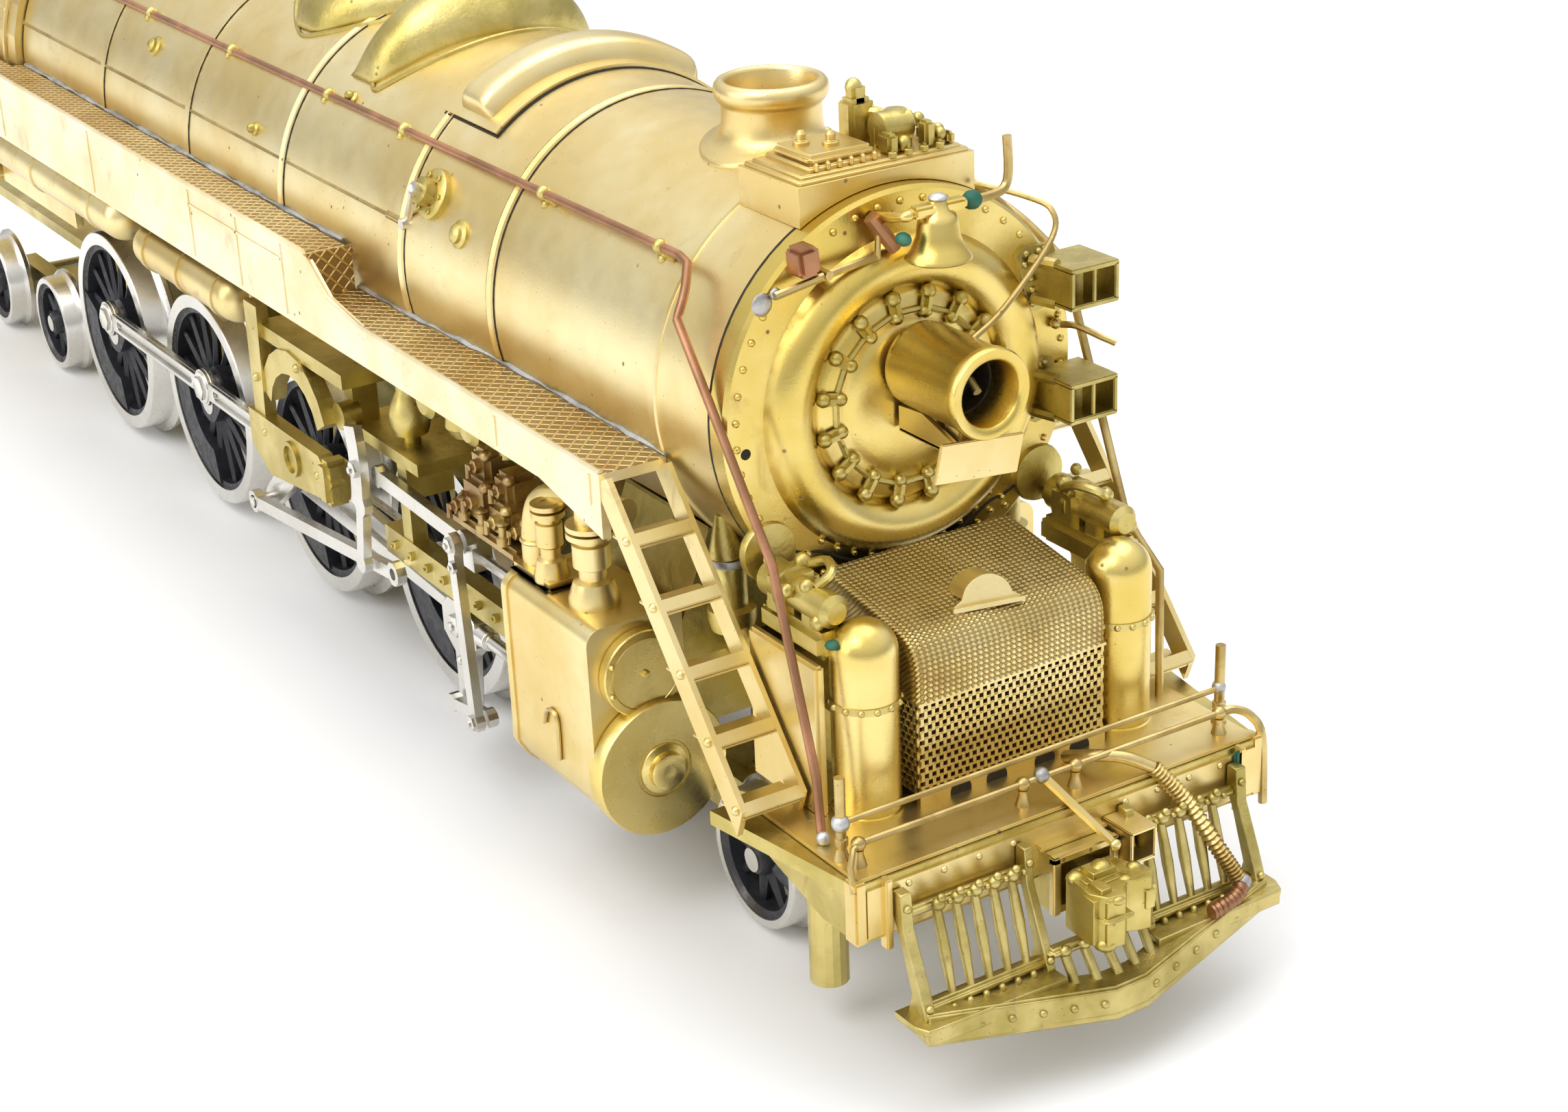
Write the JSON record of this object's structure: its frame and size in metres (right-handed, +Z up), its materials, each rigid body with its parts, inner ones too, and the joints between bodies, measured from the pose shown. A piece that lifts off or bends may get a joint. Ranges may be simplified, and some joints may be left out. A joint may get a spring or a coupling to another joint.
{
  "type": "model steam locomotive",
  "caption": "Unpainted brass HO-scale model steam locomotive, engine only, with a long boiler, running boards, ladders, pilot, spoked drivers and outside valve gear",
  "frame": {"origin": "centre of the bounding box at the height of the rails, where the wheel flanges stand", "axes": "+X towards the front of the engine, +Y to its left side, +Z up"},
  "size_m": [0.2152, 0.0374, 0.0572],
  "materials": {
    "brass": "satin, unpainted, lightly tarnished",
    "nickel": "bright nickel silver",
    "black": "matt black wheel centres with bare tyres",
    "steel": "plain"
  },
  "bodies": {
    "locomotive": {"boiler_shell": "brass", "smokebox_front": "brass", "firebox": "brass", "smokestack": "brass", "feedwater_heater": "brass", "headlight": "brass", "number_board": "brass", "bell": "brass", "sand_dome": "brass", "steam_dome": "brass", "check_valve_cover": "brass", "cab": "brass", "pilot_deck": "brass", "pilot": "brass", "front_tank_left": "brass", "front_tank_right": "brass", "radiator_guard": "brass", "main_frame": "brass", "motor": "steel", "cylinder_saddle": "brass", "side_tank_left": "brass", "side_tank_right": "brass", "cylinder_left": "brass", "cylinder_right": "brass", "motion_bracket_left": "brass", "motion_bracket_right": "brass", "running_board_left": "brass", "running_board_right": "brass", "ladder_left": "brass", "ladder_right": "brass"},
    "driver_1": {"driver_1": "black"},
    "driver_2": {"driver_2": "black"},
    "driver_3": {"driver_3": "black"},
    "driver_4": {"driver_4": "black"},
    "worm_shaft": {"worm_shaft": "steel"},
    "side_rod_right": {"side_rod_right": "nickel"},
    "main_rod_right": {"main_rod_right": "nickel"},
    "eccentric_rod_right": {"eccentric_rod_right": "nickel"},
    "crosshead_right": {"crosshead_right": "nickel"},
    "expansion_link_right": {"expansion_link_right": "nickel"},
    "radius_rod_right": {"radius_rod_right": "nickel"},
    "combination_lever_right": {"combination_lever_right": "nickel"},
    "union_link_right": {"union_link_right": "nickel"},
    "side_rod_left": {"side_rod_left": "nickel"},
    "main_rod_left": {"main_rod_left": "nickel"},
    "eccentric_rod_left": {"eccentric_rod_left": "nickel"},
    "crosshead_left": {"crosshead_left": "nickel"},
    "expansion_link_left": {"expansion_link_left": "nickel"},
    "radius_rod_left": {"radius_rod_left": "nickel"},
    "combination_lever_left": {"combination_lever_left": "nickel"},
    "union_link_left": {"union_link_left": "nickel"},
    "lead_truck_frame": {"lead_truck_frame": "brass"},
    "lead_wheelset_1": {"lead_wheelset_1": "black"},
    "lead_wheelset_2": {"lead_wheelset_2": "black"},
    "trailing_truck_frame": {"trailing_truck_frame": "brass"},
    "trailing_wheelset_1": {"trailing_wheelset_1": "black"},
    "trailing_wheelset_2": {"trailing_wheelset_2": "black"},
    "coupler": {"coupler": "brass"},
    "drawbar": {"drawbar": "brass"}
  },
  "joints": [
    {"name": "driver_1_spin", "type": "hinge", "parent": "locomotive", "child": "driver_1", "pos_m": [0.0354, 0, 0.011], "axis": [0, 1, 0], "continuous": true},
    {"name": "driver_2_spin", "type": "hinge", "parent": "locomotive", "child": "driver_2", "pos_m": [0.0104, 0, 0.011], "axis": [0, 1, 0], "continuous": true},
    {"name": "driver_3_spin", "type": "hinge", "parent": "locomotive", "child": "driver_3", "pos_m": [-0.0146, 0, 0.011], "axis": [0, 1, 0], "continuous": true},
    {"name": "driver_4_spin", "type": "hinge", "parent": "locomotive", "child": "driver_4", "pos_m": [-0.0396, 0, 0.011], "axis": [0, 1, 0], "continuous": true},
    {"name": "worm_shaft_spin", "type": "hinge", "parent": "locomotive", "child": "worm_shaft", "pos_m": [-0.0186, 0, 0.0186], "axis": [1, 0, 0], "continuous": true},
    {"name": "side_rod_right_turn", "type": "hinge", "parent": "driver_2", "child": "side_rod_right", "pos_m": [0.01355, -0.0116, 0.01346], "axis": [0, 1, 0], "continuous": true},
    {"name": "main_rod_right_turn", "type": "hinge", "parent": "driver_2", "child": "main_rod_right", "pos_m": [0.01355, -0.0128, 0.01346], "axis": [0, 1, 0], "continuous": true},
    {"name": "eccentric_rod_right_turn", "type": "hinge", "parent": "driver_2", "child": "eccentric_rod_right", "pos_m": [0.00898, -0.0156, 0.00989], "axis": [0, 1, 0], "continuous": true},
    {"name": "crosshead_right_slide", "type": "slide", "parent": "locomotive", "child": "crosshead_right", "axis": [1, 0, 0], "range_m": [-0.00715, 0.00085]},
    {"name": "expansion_link_right_swing", "type": "hinge", "parent": "locomotive", "child": "expansion_link_right", "pos_m": [0.0347, -0.0166, 0.0214], "axis": [0, 1, 0], "range_deg": [-18, 18]},
    {"name": "radius_rod_right_slide", "type": "slide", "parent": "locomotive", "child": "radius_rod_right", "axis": [1, 0, 0], "range_m": [-0.00094, 0.00094]},
    {"name": "combination_lever_right_swing", "type": "hinge", "parent": "radius_rod_right", "child": "combination_lever_right", "pos_m": [0.0508, -0.0166, 0.0206], "axis": [0, 1, 0], "range_deg": [-4, 29.8]},
    {"name": "union_link_right_swing", "type": "hinge", "parent": "combination_lever_right", "child": "union_link_right", "pos_m": [0.052, -0.0156, 0.0066], "axis": [0, 1, 0], "range_deg": [-29.8, 4]},
    {"name": "side_rod_left_turn", "type": "hinge", "parent": "driver_2", "child": "side_rod_left", "pos_m": [0.01286, 0.0116, 0.00785], "axis": [0, 1, 0], "continuous": true},
    {"name": "main_rod_left_turn", "type": "hinge", "parent": "driver_2", "child": "main_rod_left", "pos_m": [0.01286, 0.0128, 0.00785], "axis": [0, 1, 0], "continuous": true},
    {"name": "eccentric_rod_left_turn", "type": "hinge", "parent": "driver_2", "child": "eccentric_rod_left", "pos_m": [0.00929, 0.0156, 0.01242], "axis": [0, 1, 0], "continuous": true},
    {"name": "crosshead_left_slide", "type": "slide", "parent": "locomotive", "child": "crosshead_left", "axis": [1, 0, 0], "range_m": [-0.00646, 0.00154]},
    {"name": "expansion_link_left_swing", "type": "hinge", "parent": "locomotive", "child": "expansion_link_left", "pos_m": [0.0347, 0.0166, 0.0214], "axis": [0, 1, 0], "range_deg": [-18, 18]},
    {"name": "radius_rod_left_slide", "type": "slide", "parent": "locomotive", "child": "radius_rod_left", "axis": [1, 0, 0], "range_m": [-0.00094, 0.00094]},
    {"name": "combination_lever_left_swing", "type": "hinge", "parent": "radius_rod_left", "child": "combination_lever_left", "pos_m": [0.0508, 0.0166, 0.0206], "axis": [0, 1, 0], "range_deg": [-6.8, 26.9]},
    {"name": "union_link_left_swing", "type": "hinge", "parent": "combination_lever_left", "child": "union_link_left", "pos_m": [0.052, 0.0156, 0.0066], "axis": [0, 1, 0], "range_deg": [-26.9, 6.8]},
    {"name": "lead_truck_swivel", "type": "hinge", "parent": "locomotive", "child": "lead_truck_frame", "pos_m": [0.0684, 0, 0.007], "axis": [0, 0, 1], "range_deg": [-4, 4]},
    {"name": "lead_wheelset_1_spin", "type": "hinge", "parent": "lead_truck_frame", "child": "lead_wheelset_1", "pos_m": [0.0797, 0, 0.0055], "axis": [0, 1, 0], "continuous": true},
    {"name": "lead_wheelset_2_spin", "type": "hinge", "parent": "lead_truck_frame", "child": "lead_wheelset_2", "pos_m": [0.0571, 0, 0.0055], "axis": [0, 1, 0], "continuous": true},
    {"name": "trailing_truck_swivel", "type": "hinge", "parent": "locomotive", "child": "trailing_truck_frame", "pos_m": [-0.0516, 0, 0.007], "axis": [0, 0, 1], "range_deg": [-5, 5]},
    {"name": "trailing_wheelset_1_spin", "type": "hinge", "parent": "trailing_truck_frame", "child": "trailing_wheelset_1", "pos_m": [-0.0626, 0, 0.0055], "axis": [0, 1, 0], "continuous": true},
    {"name": "trailing_wheelset_2_spin", "type": "hinge", "parent": "trailing_truck_frame", "child": "trailing_wheelset_2", "pos_m": [-0.0816, 0, 0.0055], "axis": [0, 1, 0], "continuous": true},
    {"name": "coupler_swing", "type": "hinge", "parent": "locomotive", "child": "coupler", "pos_m": [0.1017, 0, 0.0119], "axis": [0, 0, 1], "range_deg": [-6, 6]},
    {"name": "drawbar_swing", "type": "hinge", "parent": "locomotive", "child": "drawbar", "pos_m": [-0.0941, 0, 0.0108], "axis": [0, 0, 1], "range_deg": [-15, 15]}
  ],
  "couplings": [
    {"joint": "driver_1_spin", "follows": "driver_2_spin", "ratio": 1},
    {"joint": "driver_3_spin", "follows": "driver_2_spin", "ratio": 1},
    {"joint": "driver_4_spin", "follows": "driver_2_spin", "ratio": 1},
    {"joint": "worm_shaft_spin", "follows": "driver_2_spin", "ratio": -28},
    {"joint": "side_rod_right_turn", "follows": "driver_2_spin", "ratio": -1},
    {"joint": "main_rod_right_turn", "follows": "driver_2_spin", "ratio": -1},
    {"joint": "eccentric_rod_right_turn", "follows": "driver_2_spin", "ratio": -1},
    {"joint": "expansion_link_right_swing", "follows": "radius_rod_right_slide", "rad_per_m": -333.33},
    {"joint": "combination_lever_right_swing", "follows": "crosshead_right_slide", "rad_per_m": -71.429},
    {"joint": "union_link_right_swing", "follows": "crosshead_right_slide", "rad_per_m": 71.429},
    {"joint": "side_rod_left_turn", "follows": "driver_2_spin", "ratio": -1},
    {"joint": "main_rod_left_turn", "follows": "driver_2_spin", "ratio": -1},
    {"joint": "eccentric_rod_left_turn", "follows": "driver_2_spin", "ratio": -1},
    {"joint": "expansion_link_left_swing", "follows": "radius_rod_left_slide", "rad_per_m": -333.33},
    {"joint": "combination_lever_left_swing", "follows": "crosshead_left_slide", "rad_per_m": -71.429},
    {"joint": "union_link_left_swing", "follows": "crosshead_left_slide", "rad_per_m": 71.429}
  ]
}
